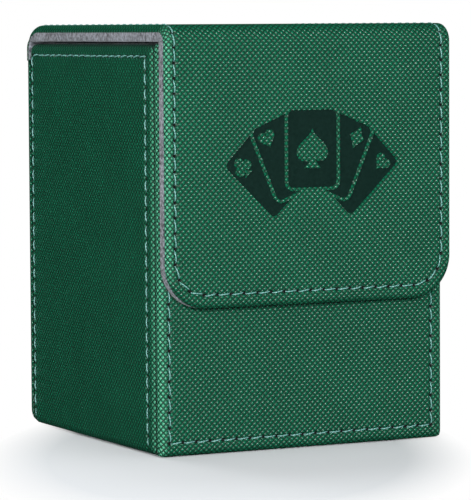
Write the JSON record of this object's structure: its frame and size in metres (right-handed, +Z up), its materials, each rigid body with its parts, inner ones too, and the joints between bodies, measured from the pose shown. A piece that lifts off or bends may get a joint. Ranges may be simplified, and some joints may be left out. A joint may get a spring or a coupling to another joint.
{
  "type": "card deck box",
  "caption": "Upright card deck box: a lined tray of stitched leatherette panels under a wrap lid that hinges at the back and folds down the front as a magnetic flap.",
  "frame": {"origin": "on the table, under the middle of the closed box", "axes": "+Z up, -Y towards the front flap, +X to the box's own width seen from the front, right side positive"},
  "size_m": [0.077, 0.0828, 0.102],
  "materials": {
    "leatherette": "dark green leatherette embossed as a plain weave",
    "board": "plain grey board",
    "microfibre": "grey napped microfibre",
    "steel": "nickel-plated discs"
  },
  "bodies": {
    "box": {"front_skin": "leatherette", "front_board": "board", "front_keepers": "steel", "front_lining": "microfibre", "left_skin": "leatherette", "left_board": "board", "left_lining": "microfibre", "right_skin": "leatherette", "right_board": "board", "right_lining": "microfibre", "back_board": "board", "back_lining": "microfibre", "bottom_skin": "leatherette", "bottom_board": "board", "bottom_lining": "microfibre", "back_skin": "leatherette", "back_card": "board", "hinge_skin": "leatherette", "hinge_lining": "microfibre"},
    "lid": {"lid_skin": "leatherette", "lid_card": "board", "lid_pad": "board", "lid_lining": "microfibre", "fold_skin": "leatherette", "fold_lining": "microfibre"},
    "flap": {"flap_skin": "leatherette", "flap_card": "board", "flap_pad": "board", "flap_magnets": "steel", "flap_lining": "microfibre"}
  },
  "joints": [
    {"name": "lid_hinge", "type": "hinge", "parent": "box", "child": "lid", "pos_m": [0, 0.0414, 0.0995], "axis": [-1, 0, 0], "range_deg": [0, 200], "deforming": ["hinge_skin", "hinge_lining"]},
    {"name": "flap_fold", "type": "hinge", "parent": "lid", "child": "flap", "pos_m": [0, -0.0389, 0.0995], "axis": [-1, 0, 0], "range_deg": [0, 90], "deforming": ["fold_skin", "fold_lining"]}
  ]
}
